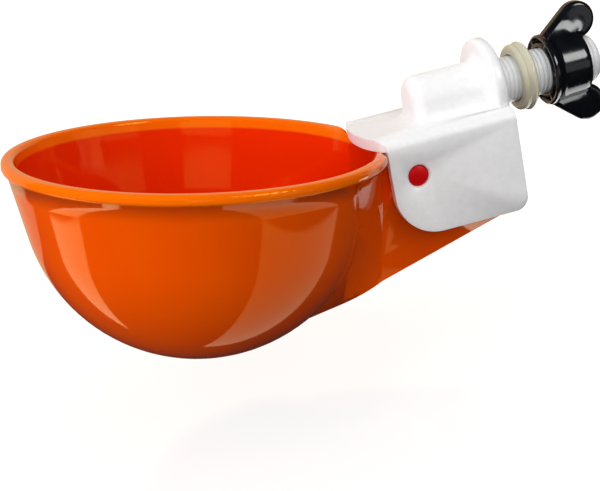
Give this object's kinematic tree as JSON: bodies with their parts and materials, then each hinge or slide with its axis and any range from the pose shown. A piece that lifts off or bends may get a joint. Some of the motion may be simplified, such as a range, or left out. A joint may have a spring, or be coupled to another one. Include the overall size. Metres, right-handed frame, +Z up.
{
  "type": "poultry drinking cup",
  "caption": "Automatic poultry drinking cup: a raised bowl on a hollow arm pivots under a valve body whose hollow threaded stem holds a sealing washer and a wing nut",
  "frame": {"origin": "centre of the rear face of the flange, on the stem's axis, where the body seats on the wall of the pipe or bucket", "axes": "+X along the threaded stem, away from the bowl; +Z up; the part is symmetrical about the XZ plane"},
  "size_m": [0.1313, 0.08, 0.055],
  "materials": {
    "orange_plastic": "gloss",
    "white_plastic": "satin",
    "red_plastic": "gloss",
    "seal_rubber": "matte",
    "spring_steel": "bright",
    "washer_rubber": "translucent satin",
    "black_plastic": "gloss"
  },
  "bodies": {
    "body": {"valve_body": "white_plastic", "hinge_pin": "red_plastic", "lift_spring": "spring_steel"},
    "bowl": {"cup": "orange_plastic", "valve_seal": "seal_rubber"},
    "washer": {"sealing_washer": "washer_rubber"},
    "nut": {"wing_nut": "black_plastic"}
  },
  "joints": [
    {"name": "cup_tilt", "type": "hinge", "parent": "body", "child": "bowl", "pos_m": [-0.0235, 0, -0.01195], "axis": [0, -1, 0], "range_deg": [0, 11.2], "stiffness_Nm_per_rad": 0.07, "springref_deg": -16.62, "deforming": ["lift_spring"]},
    {"name": "washer_slide", "type": "slide", "parent": "body", "child": "washer", "axis": [1, 0, 0], "range_m": [-0.0051, 0.002]},
    {"name": "nut_turn", "type": "hinge", "parent": "washer", "child": "nut", "pos_m": [0.0169, 0, 0], "axis": [1, 0, 0], "range_deg": [-1835, 715]}
  ],
  "couplings": [
    {"joint": "washer_slide", "follows": "nut_turn", "m_per_rad": 0.00015915}
  ]
}
